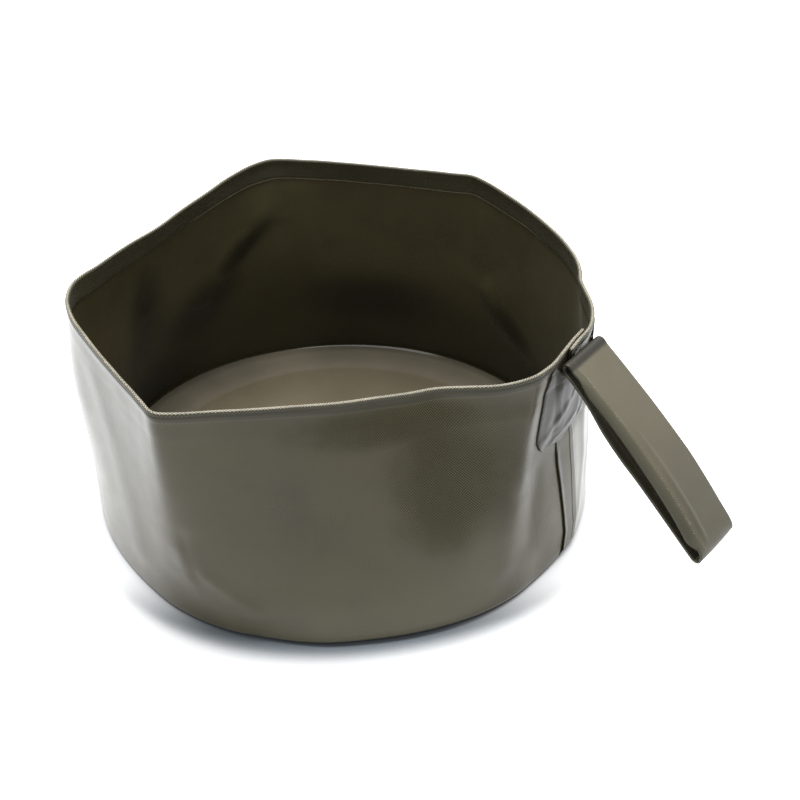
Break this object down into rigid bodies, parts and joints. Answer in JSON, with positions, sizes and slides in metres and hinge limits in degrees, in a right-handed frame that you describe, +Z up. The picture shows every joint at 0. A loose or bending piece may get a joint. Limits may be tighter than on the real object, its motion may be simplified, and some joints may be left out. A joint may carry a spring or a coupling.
{
  "type": "collapsible washbasin",
  "caption": "Soft-walled wash bowl of coated cloth with a round flat floor, a lapped wall that folds down, a corded rim and a flat strap loop handle.",
  "frame": {"origin": "middle of the floor disc's underside, on the surface that the basin stands on", "axes": "+Z up out of the mouth; +X outwards along the strap handle; +Y to the left of the handle seen from above, looking along +X"},
  "size_m": [0.3252, 0.261, 0.1203],
  "materials": {
    "wall_cloth": "PVC-coated polyester, soft gloss, olive taupe",
    "floor_cloth": "PVC-coated polyester, soft gloss",
    "hem_cloth": "coated cloth folded over a cord, worn paler along the fold",
    "cord_fibre": "plain fibre cord, matt",
    "patch_cloth": "coated cloth, pressed and wrinkled by the weld, glossy",
    "strap_cloth": "coated cloth strap, satin, khaki"
  },
  "bodies": {
    "base": {"base_disc": "floor_cloth", "wall_foot": "wall_cloth", "wall_panel": "wall_cloth", "strap_ends": "strap_cloth", "handle_patch": "patch_cloth"},
    "rim": {"rim_hem": "hem_cloth", "rim_cord": "cord_fibre"},
    "handle": {"handle_strap": "strap_cloth"}
  },
  "joints": [
    {"name": "rim_collapse", "type": "slide", "parent": "base", "child": "rim", "axis": [0, 0, 1], "range_m": [-0.084, 0], "deforming": ["wall_panel", "strap_ends", "handle_patch"]},
    {"name": "handle_swing", "type": "hinge", "parent": "rim", "child": "handle", "pos_m": [0.1266, 0.017, 0.11478], "axis": [0, 1, 0], "range_deg": [-117, 9]}
  ]
}
